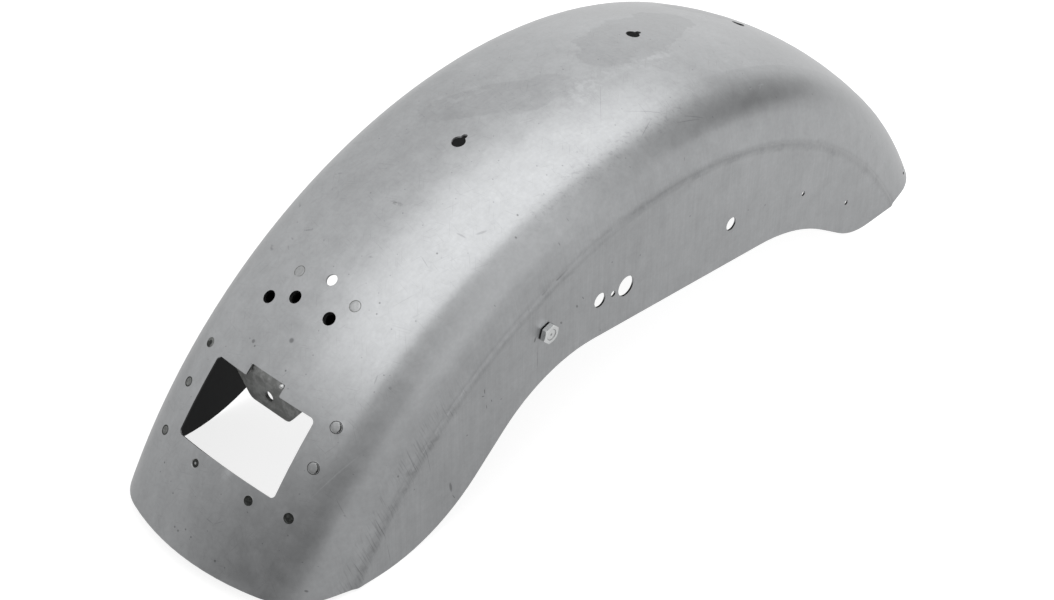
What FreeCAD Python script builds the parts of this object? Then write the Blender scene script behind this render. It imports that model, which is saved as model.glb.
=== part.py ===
import FreeCAD, Part
import math
import os
import Sketcher
from FreeCAD import Placement, Rotation, Vector

os.makedirs("parts", exist_ok=True)

# Every driving dimension, in millimetres and degrees. A height is measured up from the bench
# that the fender stands on, and an x forwards from the wheel's axis. A place on the crown is
# given in the plane through the wheel's axis at a feature's angle: so far forwards of that
# angle, and so far to the side.
SIZES = {
    # The pressed sheet: its section across the crown, from the crest out to the skirt.
    "crown_radius": 345.0,
    "crest_height": 190.0,
    "sheet_thickness": 1.2,
    "half_width": 84.0,
    "crown_side_radius": 182.0,
    "shoulder_radius": 38.7,
    "shoulder_angle": 75.0,
    "shoulder_band": 12.0,
    "crease_radius": 6.0,
    "crease_angle": 58.0,
    # The lower edge seen from the side, from the rear lip over the arch to the toe.
    "heel_x": -224.0,
    "heel_radius": 105.0,
    "lip_angle": 5.8,
    "heel_angle": 40.1,
    "heel_run": 30.5,
    "arch_rear_radius": 100.0,
    "arch_rear_angle": 46.5,
    "arch_run": 160.0,
    "arch_front_radius": 150.0,
    "arch_front_angle": 27.8,
    "toe_radius": 60.0,
    # Holes through both skirts. The stay and pilot holes are behind the main hole and a little above it.
    "main_hole_x": -29.6,
    "main_hole_height": 90.8,
    "main_hole_bore": 13.5,
    "stay_hole_behind": 23.05,
    "stay_hole_rise": 2.7,
    "stay_hole_bore": 9.6,
    "pilot_hole_behind": 11.3,
    "pilot_hole_rise": 0.7,
    "pilot_hole_bore": 4.0,
    "front_hole_x": 68.8,
    "front_hole_height": 83.2,
    "front_hole_bore": 9.0,
    "trim_hole_bore": 3.4,
    "upper_trim_hole_x": 143.3,
    "upper_trim_hole_height": 67.1,
    "lower_trim_hole_x": 194.1,
    "lower_trim_hole_height": 33.2,
    # Small hole in each shoulder near the front edge.
    "shoulder_hole_angle": 30.7,
    "shoulder_hole_side": 72.4,
    "shoulder_hole_bore": 4.0,
    # Hexagon bolt and nut in each skirt.
    "bolt_x": -98.3,
    "bolt_height": 96.9,
    "bolt_shank": 6.35,
    "bolt_length": 16.0,
    "bolt_point": 0.7,
    "bolt_hole_clearance": 0.35,
    "across_flats": 11.1,
    "head_height": 4.0,
    "washer_face_inset": 0.45,
    "washer_face_height": 0.7,
    "hex_corner_inset": 0.22,
    "hex_corner_angle": 30.0,
    "head_dimple": 6.4,
    "head_dimple_depth": 0.35,
    "nut_height": 5.6,
    "thread_clearance": 0.1,
    "nut_lead_in": 0.5,
    # Opening in the rear of the crown, with the notch in its forward edge.
    "opening_angle": 138.0,
    "opening_length": 49.8,
    "opening_width": 79.0,
    "opening_corner": 3.0,
    "notch_width": 27.0,
    "notch_depth": 7.3,
    "notch_corner": 1.0,
    # Doubler strip welded under the opening's edge, and the plug welds that hold it. Each margin
    # and setback is measured outwards from the opening's own edge.
    "doubler_thickness": 1.4,
    "doubler_front_margin": 9.4,
    "doubler_rear_margin": 14.7,
    "doubler_side_margin": 19.5,
    "doubler_side_setback": 4.0,
    "doubler_sill_setback": 2.1,
    "doubler_corner": 5.0,
    "plug_bore": 6.0,
    "plug_side_margin": 12.3,
    "plug_front_margin": 2.5,
    "plug_middle": 1.9,
    "plug_rear_margin": 4.3,
    "sill_plug_margin": 8.1,
    "sill_plug_left": 17.0,
    "sill_plug_right": 26.3,
    # Lamp holes in front of the opening.
    "lamp_angle": 125.0,
    "lamp_hole_bore": 8.0,
    "lamp_hole_side": 13.7,
    "lamp_hole_forward": -2.2,
    "wire_hole_bore": 7.0,
    "wire_hole_forward": 16.7,
    "outer_hole_bore": 8.2,
    "outer_hole_side": 30.3,
    "outer_hole_forward": -9.75,
    # Lamp bracket under the crown. Its bend starts in front of the opening's notch, and its tab
    # hangs from the end of the bend, so far down to its shoulders, its hole and its foot.
    "bracket_thickness": 2.0,
    "bracket_half_width": 27.5,
    "bracket_reach": 25.3,
    "bracket_slot": 24.0,
    "bracket_slot_margin": 8.7,
    "bracket_plug_bore": 7.3,
    "bracket_plug_side": 22.4,
    "bracket_plug_forward": 11.4,
    "tab_bend_margin": 1.2,
    "tab_bend_radius": 7.5,
    "tab_shoulder_drop": 4.6,
    "tab_hole_drop": 10.2,
    "tab_foot_drop": 20.2,
    "tab_foot_half_width": 15.5,
    "tab_corner": 6.0,
    "tab_hole_bore": 6.6,
    # Tack weld in the right-hand corner of the notch, against both of its walls and the bend.
    "tack_radius": 1.6,
    "tack_clearance": 0.05,
    # Closed weld nuts behind the lamp holes.
    "lamp_nut_diameter": 13.0,
    "lamp_nut_height": 8.0,
    "lamp_nut_bore": 6.8,
    "lamp_nut_floor": 1.5,
    "lamp_nut_chamfer": 1.0,
    "lamp_nut_clearance": 0.5,
    # Keyhole slots along the crest, tip to the front.
    "keyhole_bore": 8.5,
    "keyhole_slot": 3.2,
    "keyhole_reach": 6.9,
    "rear_keyhole_angle": 104.0,
    "middle_keyhole_angle": 78.8,
    "front_keyhole_angle": 60.0,
}

# The slope of the upright skirt, and the number of steps in which the bracket's bend is drawn.
UPRIGHT = 90
BEND_STEPS = 4

doc = FreeCAD.newDocument("motorcycle_rear_fender")
sheet = doc.addObject("Spreadsheet::Sheet", "sizes")
for row, (name, number) in enumerate(SIZES.items(), start=1):
    sheet.set(f"A{row}", name)
    sheet.set(f"B{row}", str(number))
    sheet.setAlias(f"B{row}", name)
doc.recompute()


def value(expression):
    """Work out an expression of the sizes as a plain number."""
    result = sheet.evalExpression(str(expression))
    return float(getattr(result, "Value", result))


def sine(degrees):
    return math.sin(math.radians(degrees))


def cosine(degrees):
    return math.cos(math.radians(degrees))


def arcsine(share):
    return math.degrees(math.asin(share))


# Sketches

def origin_plane(body, role):
    """Find one of a body's own planes."""
    return next(item for item in body.Origin.OriginFeatures if item.Role == role)


def sketch_on(body, name, role):
    """Start a sketch on one of a body's own planes."""
    sketch = body.newObject("Sketcher::SketchObject", name)
    sketch.AttachmentSupport = (origin_plane(body, role), [""])
    sketch.MapMode = "FlatFace"
    return sketch


def crown_sketch(body, name, angle):
    """Start a sketch square to the radius at an angle, with x forwards and y to the left."""
    sketch = sketch_on(body, name, "XY_Plane")
    sketch.AttachmentOffset = Placement(Vector(), Rotation(Vector(0, 1, 0), 1))
    sketch.setExpression("AttachmentOffset.Rotation.Angle", f"90 deg - 1 deg * ({angle})")
    return sketch


def radial_sketch(body, name, angle):
    """Start a sketch in the plane of the wheel's axis at an angle, with x to the left and y outwards."""
    sketch = sketch_on(body, name, "YZ_Plane")
    sketch.AttachmentOffset = Placement(Vector(), Rotation(Vector(1, 0, 0), 1))
    sketch.setExpression("AttachmentOffset.Rotation.Angle", f"90 deg - 1 deg * ({angle})")
    return sketch


def dimension(sketch, kind, where, expression):
    """Add a dimension that follows an expression of the sizes."""
    index = sketch.addConstraint(Sketcher.Constraint(kind, *where, value(expression)))
    sketch.setExpression(f"Constraints[{index}]", str(expression))


def pin(sketch, item, point, x, y):
    """Hold one point of a sketch at the place that two expressions give."""
    for kind, axis, expression in (("DistanceX", -2, x), ("DistanceY", -1, y)):
        if abs(value(expression)) < 1e-9:
            sketch.addConstraint(Sketcher.Constraint("PointOnObject", item, point, axis))
        else:
            dimension(sketch, kind, (-1, 1, item, point), expression)


def draw_outline(sketch, corners):
    """Draw a closed outline of straight sides; each corner is a pair of expressions."""
    spots = [Vector(value(x), value(y), 0) for x, y in corners]
    lines = []
    for start, end in zip(spots, spots[1:] + spots[:1]):
        lines.append(sketch.addGeometry(Part.LineSegment(start, end), False))
    for line, following in zip(lines, lines[1:] + lines[:1]):
        sketch.addConstraint(Sketcher.Constraint("Coincident", line, 2, following, 1))
    for line, (x, y) in zip(lines, corners):
        pin(sketch, line, 1, x, y)


def draw_circles(sketch, places, bore):
    """Draw one circle of the same bore at each place."""
    for x, y in places:
        shape = Part.Circle(Vector(value(x), value(y), 0), Vector(0, 0, 1), value(bore) / 2)
        circle = sketch.addGeometry(shape, False)
        dimension(sketch, "Diameter", (circle,), bore)
        pin(sketch, circle, 3, x, y)


def draw_hexagon(sketch, across_flats):
    """Draw a hexagon with two corners on the x axis."""
    corner = value(across_flats) / cosine(30) / 2
    rim = sketch.addGeometry(Part.Circle(Vector(), Vector(0, 0, 1), corner), True)
    sketch.addConstraint(Sketcher.Constraint("Coincident", rim, 3, -1, 1))
    dimension(sketch, "Diameter", (rim,), f"{across_flats} / cos(30 deg)")
    spots = [Vector(corner * cosine(60 * turn), corner * sine(60 * turn), 0) for turn in range(6)]
    sides = []
    for start, end in zip(spots, spots[1:] + spots[:1]):
        sides.append(sketch.addGeometry(Part.LineSegment(start, end), False))
    for side, following in zip(sides, sides[1:] + sides[:1]):
        sketch.addConstraint(Sketcher.Constraint("Coincident", side, 2, following, 1))
        sketch.addConstraint(Sketcher.Constraint("PointOnObject", side, 1, rim))
    for side in sides[1:]:
        sketch.addConstraint(Sketcher.Constraint("Equal", sides[0], side))
    sketch.addConstraint(Sketcher.Constraint("PointOnObject", sides[0], 1, -1))


# Paths. A path is a list of moves, each leaving the last one without a corner:
# ("run", length) goes straight on, and ("turn", radius, degrees) follows an arc, left when positive.

def step(point, heading, move):
    """Return where one move ends, its heading there and the centre of its arc."""
    if move[0] == "run":
        return point + Vector(cosine(heading), sine(heading), 0) * move[1], heading, None
    radius, degrees = value(move[1]), move[2]
    side = math.copysign(1, degrees)
    centre = point + Vector(-sine(heading), cosine(heading), 0) * radius * side
    arm = Rotation(Vector(0, 0, 1), degrees).multVec(point - centre)
    return centre + arm, heading + degrees, centre


def follow(point, heading, moves):
    """Return the end of a path and its heading there."""
    for move in moves:
        point, heading, _ = step(point, heading, move)
    return point, heading


def draw_path(sketch, point, heading, moves):
    """Draw a path and return its pieces, each with the numbers of its first and last points."""
    pieces = []
    for move in moves:
        end, new_heading, centre = step(point, heading, move)
        if centre is None:
            pieces.append((sketch.addGeometry(Part.LineSegment(point, end), False), 1, 2))
        else:
            first = math.radians(heading - math.copysign(90, move[2]))
            last = first + math.radians(move[2])
            circle = Part.Circle(centre, Vector(0, 0, 1), value(move[1]))
            arc = Part.ArcOfCircle(circle, min(first, last), max(first, last))
            index = sketch.addGeometry(arc, False)
            pieces.append((index, 1, 2) if move[2] > 0 else (index, 2, 1))
            dimension(sketch, "Radius", (index,), move[1])
        point, heading = end, new_heading
    for (one, _, tail), (other, start, _) in zip(pieces, pieces[1:]):
        sketch.addConstraint(Sketcher.Constraint("Tangent", one, tail, other, start))
    return pieces


def end_point(sketch, piece, which):
    """Return the place of a piece's first (1) or last (2) point."""
    return sketch.getPoint(piece[0], piece[which])


def join(sketch, piece, which, other, other_which):
    """Draw a straight line between the ends of two pieces."""
    ends = Part.LineSegment(end_point(sketch, piece, which), end_point(sketch, other, other_which))
    line = sketch.addGeometry(ends, False)
    sketch.addConstraint(Sketcher.Constraint("Coincident", line, 1, piece[0], piece[which]))
    sketch.addConstraint(Sketcher.Constraint("Coincident", line, 2, other[0], other[other_which]))


# Features

def revolve(body, name, sketch, angle, middle=False):
    """Turn a section about the wheel's axis, from its own plane towards the front."""
    feature = body.newObject("PartDesign::Revolution", name)
    feature.Profile = sketch
    feature.ReferenceAxis = (sketch, ["H_Axis"])
    feature.Midplane = middle
    feature.setExpression("Angle", angle)
    return feature


def spin(body, kind, name, sketch):
    """Turn a section all the way round its own upright axis, adding or cutting."""
    feature = body.newObject(f"PartDesign::{kind}", name)
    feature.Profile = sketch
    feature.ReferenceAxis = (sketch, ["V_Axis"])
    feature.Angle = 360
    return feature


def cut_outwards(body, name, sketch):
    """Cut a sketch through everything on the far side of its plane."""
    pocket = body.newObject("PartDesign::Pocket", name)
    pocket.Profile = sketch
    pocket.Type = "ThroughAll"
    pocket.Reversed = True
    return pocket


def cut_both_ways(body, name, sketch):
    """Cut a sketch through everything on both sides of its plane."""
    pocket = body.newObject("PartDesign::Pocket", name)
    pocket.Profile = sketch
    pocket.Type = "ThroughAll"
    pocket.SideType = "Symmetric"
    return pocket


def pad(body, name, sketch, length):
    """Raise a sketch along its normal."""
    feature = body.newObject("PartDesign::Pad", name)
    feature.Profile = sketch
    feature.setExpression("Length", length)
    return feature


def new_body(name):
    """Start a sub-part whose own zero is on the wheel's axis."""
    body = doc.addObject("PartDesign::Body", name)
    body.Label = name
    body.Placement = Placement(Vector(-box_middle(), 0, -axis_drop()), Rotation())
    return body


# The pressed sheet's shape

def axis_drop():
    """Return how far the wheel's axis lies under the bench."""
    return SIZES["crown_radius"] - SIZES["crest_height"]


def above_bench(height):
    """Return the expression of a height above the bench, seen from the wheel's axis."""
    return f"sizes.crown_radius - sizes.crest_height + {height}"


def side_edge():
    """Return the start, heading and moves of the lower edge, seen from the right side."""
    drop, rise, past_the_sheet = axis_drop(), SIZES["lip_angle"], SIZES["crown_radius"]
    touch = Vector(SIZES["heel_x"], drop, 0)
    heel = ("turn", "sizes.heel_radius", -rise)
    lip, _ = follow(touch, 180, [heel])
    start = lip - Vector(cosine(rise), -sine(rise), 0) * past_the_sheet
    moves = [
        ("run", past_the_sheet),
        ("turn", "sizes.heel_radius", SIZES["heel_angle"] + rise),
        ("run", SIZES["heel_run"]),
        ("turn", "sizes.arch_rear_radius", -SIZES["arch_rear_angle"]),
        ("run", SIZES["arch_run"]),
        ("turn", "sizes.arch_front_radius", -SIZES["arch_front_angle"]),
    ]
    crest, heading = follow(start, -rise, moves)
    toe_drop = SIZES["toe_radius"] * (1 - cosine(heading))
    moves.append(("run", (crest.y - drop - toe_drop) / sine(-heading)))
    moves.append(("turn", "sizes.toe_radius", -heading))
    moves.append(("run", past_the_sheet))
    return start, -rise, moves


def box_middle():
    """Return the x halfway between the foremost and the rearmost point of the crest."""
    radius, rise = SIZES["crown_radius"], SIZES["lip_angle"]
    front = math.sqrt(radius ** 2 - axis_drop() ** 2)
    start, _, _ = side_edge()
    distance = start.x * sine(rise) + start.y * cosine(rise)
    rear = distance * sine(rise) - math.sqrt(radius ** 2 - distance ** 2) * cosine(rise)
    return (front + rear) / 2


def crown_slope():
    """Return the slope at which the crown's round meets the shoulder, for the skirt to be in its place."""
    shoulder, crease = SIZES["shoulder_angle"], SIZES["crease_angle"]
    shoulder_end = SIZES["shoulder_radius"] * sine(shoulder)
    band = SIZES["shoulder_band"] * cosine(shoulder)
    joggle = SIZES["crease_radius"] * (sine(shoulder) - sine(crease) + 1 - sine(crease))
    rest = SIZES["half_width"] - shoulder_end - band - joggle
    return arcsine(rest / (SIZES["crown_side_radius"] - SIZES["shoulder_radius"]))


def slope_at(side):
    """Return the outer face's slope at a distance to the side, on the crown or on the shoulder."""
    crown = crown_slope()
    crown_edge = SIZES["crown_side_radius"] * sine(crown)
    if side <= crown_edge:
        return arcsine(side / SIZES["crown_side_radius"])
    return arcsine(sine(crown) + (side - crown_edge) / SIZES["shoulder_radius"])


def outer_half(edge_slope):
    """Return the moves of the outer face from the crown's round to the given slope."""
    crown, shoulder, crease = crown_slope(), SIZES["shoulder_angle"], SIZES["crease_angle"]
    if edge_slope <= crown:
        return []
    if edge_slope <= shoulder:
        return [("turn", "sizes.shoulder_radius", crown - edge_slope)]
    crown_round = ("turn", "sizes.crown_side_radius", -crown)
    bends = [
        ("turn", "sizes.shoulder_radius", crown - shoulder),
        ("run", SIZES["shoulder_band"]),
        ("turn", "sizes.crease_radius", shoulder - crease),
        ("turn", "sizes.crease_radius", crease - edge_slope),
    ]
    foot, _ = follow(Vector(0, SIZES["crown_radius"], 0), 0, [crown_round] + bends)
    return bends + [("run", foot.y - axis_drop())]


def deepen(move, depth):
    """Shift a move inwards: left turns grow and right turns shrink."""
    if move[0] == "run":
        return move
    return ("turn", f"{move[1]} {'+' if move[2] > 0 else '-'} ({depth})", move[2])


def draw_layer(sketch, edge_slope, depth):
    """Draw the line that lies so deep under the outer face, from edge to edge."""
    crown = min(edge_slope, crown_slope())
    half = [deepen(move, depth) for move in outer_half(edge_slope)]
    crest = Vector(0, SIZES["crown_radius"] - value(depth), 0)
    edge, heading = follow(crest, 0, [deepen(("turn", "sizes.crown_side_radius", -crown), depth)] + half)
    top = deepen(("turn", "sizes.crown_side_radius", -2 * crown), depth)
    return draw_path(sketch, Vector(-edge.x, edge.y, 0), -heading, half[::-1] + [top] + half)


def draw_section(sketch, edge_slope, depth, thickness):
    """Draw the closed section of a sheet that follows the crown at a depth."""
    outer = draw_layer(sketch, edge_slope, depth)
    inner = draw_layer(sketch, edge_slope, f"{depth} + {thickness}")
    join(sketch, outer[0], 1, inner[0], 1)
    join(sketch, outer[-1], 2, inner[-1], 2)


def crown_strip(body, edge_slope, depth, thickness, rear_angle, turn):
    """Make a strip that follows the crown, from a rear angle forwards."""
    section = radial_sketch(body, "section", rear_angle)
    draw_section(section, edge_slope, depth, thickness)
    return revolve(body, "strip", section, turn)


def crown_spot(angle, forward, side, depth):
    """Return a place under the crown's outer face, and the way out from it."""
    slope = arcsine(side / SIZES["crown_side_radius"])
    height = SIZES["crown_radius"] - SIZES["crown_side_radius"] * (1 - cosine(slope))
    turned = angle - arcsine(forward / height)
    outwards = Vector(cosine(slope) * cosine(turned), sine(slope), cosine(slope) * sine(turned))
    place = Vector(height * cosine(turned), side, height * sine(turned)) - outwards * depth
    return place + Vector(-box_middle(), 0, -axis_drop()), outwards


# Places that several pieces share

def plug_places():
    """Return the places of the doubler's plug welds, in the opening's plane."""
    front, rear = "sizes.opening_length / 2", "-sizes.opening_length / 2"
    rows = (f"{front} + sizes.plug_front_margin", "sizes.plug_middle", f"{rear} - sizes.plug_rear_margin")
    beside = "(sizes.opening_width / 2 + sizes.plug_side_margin)"
    sill = f"{rear} - sizes.sill_plug_margin"
    places = [(row, f"{side} * {beside}") for row in rows for side in (1, -1)]
    return places + [(sill, "sizes.sill_plug_left"), (sill, "-sizes.sill_plug_right")]


def bracket_plug_places():
    """Return the places of the bracket's plug welds, in the lamp's plane."""
    return [("sizes.bracket_plug_forward", f"{side} * sizes.bracket_plug_side") for side in (1, -1)]


def lamp_hole_places():
    """Return the places of the two lamp screws, in the lamp's plane."""
    return [("sizes.lamp_hole_forward", f"{side} * sizes.lamp_hole_side") for side in (1, -1)]


def bend_angle():
    """Return the angle at which the bracket leaves the crown to become the tab."""
    forward = SIZES["opening_length"] / 2 + SIZES["notch_depth"] + SIZES["tab_bend_margin"]
    return SIZES["opening_angle"] - arcsine(forward / SIZES["crown_radius"])


# Sub-parts

def make_skin():
    """Press the sheet, trim its lower edge and pierce it."""
    body = new_body("fender_skin")
    section = sketch_on(body, "section", "YZ_Plane")
    draw_section(section, UPRIGHT, "0", "sizes.sheet_thickness")
    revolve(body, "shell", section, "180 deg", middle=True)
    trim_side(body)
    pierce_skirts(body)
    pierce_opening(body)
    pierce_lamp_holes(body)
    pierce_keyholes(body)
    pierce_shoulders(body)
    return body


def trim_side(body):
    """Cut away everything under the lower edge."""
    trim = sketch_on(body, "side_edge", "XZ_Plane")
    start, heading, moves = side_edge()
    edge = draw_path(trim, start, heading, moves)
    end = end_point(trim, edge[-1], 2)
    below = -SIZES["half_width"]
    front = (trim.addGeometry(Part.LineSegment(end, Vector(end.x, below, 0)), False), 1, 2)
    rear = (trim.addGeometry(Part.LineSegment(start, Vector(start.x, below, 0)), False), 1, 2)
    trim.addConstraint(Sketcher.Constraint("Coincident", front[0], 1, edge[-1][0], edge[-1][2]))
    trim.addConstraint(Sketcher.Constraint("Coincident", rear[0], 1, edge[0][0], edge[0][1]))
    join(trim, front, 2, rear, 2)
    cut_both_ways(body, "side_trim", trim)


def pierce_skirts(body):
    """Pierce the holes that go through both skirts."""
    holes = sketch_on(body, "skirt_holes", "XZ_Plane")
    main = ("sizes.main_hole_x", above_bench("sizes.main_hole_height"))
    draw_circles(holes, [main], "sizes.main_hole_bore")
    for hole in ("stay_hole", "pilot_hole"):
        place = (f"{main[0]} - sizes.{hole}_behind", f"{main[1]} + sizes.{hole}_rise")
        draw_circles(holes, [place], f"sizes.{hole}_bore")
    front = ("sizes.front_hole_x", above_bench("sizes.front_hole_height"))
    draw_circles(holes, [front], "sizes.front_hole_bore")
    for hole in ("upper_trim_hole", "lower_trim_hole"):
        place = (f"sizes.{hole}_x", above_bench(f"sizes.{hole}_height"))
        draw_circles(holes, [place], "sizes.trim_hole_bore")
    bolt = ("sizes.bolt_x", above_bench("sizes.bolt_height"))
    draw_circles(holes, [bolt], "sizes.bolt_shank + sizes.bolt_hole_clearance")
    cut_both_ways(body, "skirt_piercing", holes)


def pierce_opening(body):
    """Pierce the rear opening with its notch, and the plug-weld holes round it."""
    outline = crown_sketch(body, "opening_outline", "sizes.opening_angle")
    round_corner, notch_corner = SIZES["opening_corner"], SIZES["notch_corner"]
    length, width = SIZES["opening_length"], SIZES["opening_width"]
    ledge = (width - SIZES["notch_width"]) / 2 - round_corner - notch_corner
    half = [
        ("turn", "sizes.opening_corner", 90),
        ("run", length - 2 * round_corner),
        ("turn", "sizes.opening_corner", 90),
        ("run", ledge),
        ("turn", "sizes.notch_corner", -90),
        ("run", SIZES["notch_depth"] - 2 * notch_corner),
        ("turn", "sizes.notch_corner", 90),
    ]
    moves = half + [("run", SIZES["notch_width"] - 2 * notch_corner)] + half[::-1]
    start = Vector(-length / 2, round_corner - width / 2, 0)
    edge = draw_path(outline, start, -90, moves)
    join(outline, edge[-1], 2, edge[0], 1)
    cut_outwards(body, "opening", outline)
    holes = crown_sketch(body, "plug_holes", "sizes.opening_angle")
    draw_circles(holes, plug_places(), "sizes.plug_bore")
    cut_outwards(body, "plug_piercing", holes)


def pierce_lamp_holes(body):
    """Pierce the lamp's screw holes, its wire hole and the bracket's plug-weld holes."""
    holes = crown_sketch(body, "lamp_holes", "sizes.lamp_angle")
    draw_circles(holes, lamp_hole_places(), "sizes.lamp_hole_bore")
    draw_circles(holes, [("sizes.wire_hole_forward", "0")], "sizes.wire_hole_bore")
    draw_circles(holes, [("sizes.outer_hole_forward", "sizes.outer_hole_side")], "sizes.outer_hole_bore")
    draw_circles(holes, bracket_plug_places(), "sizes.bracket_plug_bore")
    cut_outwards(body, "lamp_piercing", holes)


def pierce_keyholes(body):
    """Pierce the keyhole slots along the crest."""
    round_radius, slot_radius = SIZES["keyhole_bore"] / 2, SIZES["keyhole_slot"] / 2
    mouth = math.degrees(math.asin(slot_radius / round_radius))
    straight = SIZES["keyhole_reach"] - slot_radius - round_radius * cosine(mouth)
    for place in ("rear", "middle", "front"):
        outline = crown_sketch(body, f"{place}_keyhole_outline", f"sizes.{place}_keyhole_angle")
        start = Vector(round_radius * cosine(mouth), -slot_radius, 0)
        moves = [("run", straight), ("turn", "sizes.keyhole_slot / 2", 180), ("run", straight)]
        slot = draw_path(outline, start, 0, moves)
        first, last = math.radians(mouth), math.radians(360 - mouth)
        arc = Part.ArcOfCircle(Part.Circle(Vector(), Vector(0, 0, 1), round_radius), first, last)
        bore = outline.addGeometry(arc, False)
        dimension(outline, "Radius", (bore,), "sizes.keyhole_bore / 2")
        outline.addConstraint(Sketcher.Constraint("Coincident", bore, 3, -1, 1))
        outline.addConstraint(Sketcher.Constraint("Coincident", bore, 1, slot[-1][0], slot[-1][2]))
        outline.addConstraint(Sketcher.Constraint("Coincident", bore, 2, slot[0][0], slot[0][1]))
        cut_outwards(body, f"{place}_keyhole", outline)


def pierce_shoulders(body):
    """Pierce the small hole in each shoulder near the front edge."""
    holes = crown_sketch(body, "shoulder_holes", "sizes.shoulder_hole_angle")
    places = [("0", f"{side} * sizes.shoulder_hole_side") for side in (1, -1)]
    draw_circles(holes, places, "sizes.shoulder_hole_bore")
    cut_outwards(body, "shoulder_piercing", holes)


def doubler_span():
    """Return the slope at the doubler's side edges, its rear angle and how far it turns forwards."""
    half_length, radius = SIZES["opening_length"] / 2, SIZES["crown_radius"]
    front_turn = arcsine((half_length + SIZES["doubler_front_margin"]) / radius)
    rear_turn = arcsine((half_length + SIZES["doubler_rear_margin"]) / radius)
    edge_slope = slope_at(SIZES["opening_width"] / 2 + SIZES["doubler_side_margin"])
    return edge_slope, f"sizes.opening_angle + {rear_turn}", f"1 deg * {front_turn + rear_turn}"


def make_doubler():
    """Make the strip under the opening's edge: a U that is open to the front."""
    body = new_body("opening_doubler")
    edge_slope, rear, turn = doubler_span()
    depth, thickness = "sizes.sheet_thickness", "sizes.doubler_thickness"
    crown_strip(body, edge_slope, depth, thickness, rear, turn)
    window = crown_sketch(body, "window", "sizes.opening_angle")
    side = SIZES["opening_width"] / 2 + SIZES["doubler_side_setback"]
    sill = SIZES["opening_length"] / 2 + SIZES["doubler_sill_setback"]
    corner = SIZES["doubler_corner"]
    reach = sill + SIZES["opening_length"] - corner
    corner_turn = ("turn", "sizes.doubler_corner", 90)
    moves = [("run", reach), corner_turn, ("run", 2 * (side - corner)), corner_turn, ("run", reach)]
    edge = draw_path(window, Vector(reach + corner - sill, side, 0), 180, moves)
    join(window, edge[-1], 2, edge[0], 1)
    cut_outwards(body, "window_cut", window)
    return body


def make_plugs(name, edge_slope, rear_angle, turn, plane_angle, places, bore):
    """Fill plug-weld holes: everything of a strip as thick as the sheet goes, but the plugs."""
    body = new_body(name)
    body.AllowCompound = True
    crown_strip(body, edge_slope, "0", "sizes.sheet_thickness", rear_angle, turn)
    plugs = crown_sketch(body, "plug_outlines", plane_angle)
    far = "sizes.crown_side_radius"
    draw_outline(plugs, [(f"-{far}", f"-{far}"), (far, f"-{far}"), (far, far), (f"-{far}", far)])
    draw_circles(plugs, places, bore)
    cut_outwards(body, "waste", plugs)
    return body


def make_doubler_plugs():
    """Fill the holes round the opening."""
    slope, rear, turn = doubler_span()
    angle, bore = "sizes.opening_angle", "sizes.plug_bore"
    return make_plugs("doubler_plug_welds", slope, rear, turn, angle, plug_places(), bore)


def bracket_edge_slope():
    """Return the crown's slope at the bracket's edge."""
    radius = SIZES["crown_side_radius"] - SIZES["sheet_thickness"]
    return arcsine(SIZES["bracket_half_width"] / radius)


def bracket_front_turn():
    """Return how far in front of the lamp's angle the bracket ends."""
    return arcsine(SIZES["bracket_reach"] / SIZES["crown_radius"])


def make_bracket_plugs():
    """Fill the two holes over the lamp bracket."""
    slope = bracket_edge_slope()
    turn = f"1 deg * {bracket_front_turn()}"
    angle, bore = "sizes.lamp_angle", "sizes.bracket_plug_bore"
    return make_plugs("bracket_plug_welds", slope, angle, turn, angle, bracket_plug_places(), bore)


def draw_bend_section(sketch, flatness):
    """Draw the bracket's section in its bend: the crown's round flattens out on the way."""
    slope = bracket_edge_slope()
    half, thickness = SIZES["bracket_half_width"], SIZES["bracket_thickness"]
    outer_radius = SIZES["crown_side_radius"] - SIZES["sheet_thickness"]
    ends = []
    for depth in (0, thickness):
        radius = outer_radius - depth
        side = half * flatness + radius * sine(slope) * (1 - flatness)
        sag = radius * (1 - cosine(slope)) * (1 - flatness)
        top = SIZES["tab_bend_radius"] - depth
        left, right = Vector(side, top - sag, 0), Vector(-side, top - sag, 0)
        if flatness < 1:
            shape = Part.Arc(right, Vector(0, top, 0), left)
        else:
            shape = Part.LineSegment(right, left)
        index = sketch.addGeometry(shape, False)
        if sketch.getPoint(index, 1).x < 0:
            ends.append((index, 1, 2))
        else:
            ends.append((index, 2, 1))
    join(sketch, ends[0], 1, ends[1], 1)
    join(sketch, ends[0], 2, ends[1], 2)


def make_bracket():
    """Make the lamp bracket: a plate under the crown, bent down into a tab."""
    body = new_body("lamp_bracket")
    bend = bend_angle()
    depth, thickness = "sizes.sheet_thickness", "sizes.bracket_thickness"
    turn = f"1 deg * ({bend} - sizes.lamp_angle + {bracket_front_turn()})"
    crown_strip(body, bracket_edge_slope(), depth, thickness, bend, turn)
    radius = SIZES["crown_radius"] - SIZES["sheet_thickness"] - SIZES["tab_bend_radius"]
    centre = Vector(radius * cosine(bend), 0, radius * sine(bend))
    sections = []
    for number in range(BEND_STEPS + 1):
        share = number / BEND_STEPS
        sketch = sketch_on(body, f"bend_section_{number}", "YZ_Plane")
        turned = bend + (180 - bend) * share
        place = Vector(0, centre.z, centre.x)
        sketch.AttachmentOffset = Placement(place, Rotation(Vector(1, 0, 0), 90 - turned))
        draw_bend_section(sketch, share ** 3)
        sections.append(sketch)
    loft = body.newObject("PartDesign::AdditiveLoft", "bend")
    loft.Profile = sections[0]
    loft.Sections = sections[1:]
    make_tab(body, centre)
    cut_bracket(body)
    return body


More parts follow.
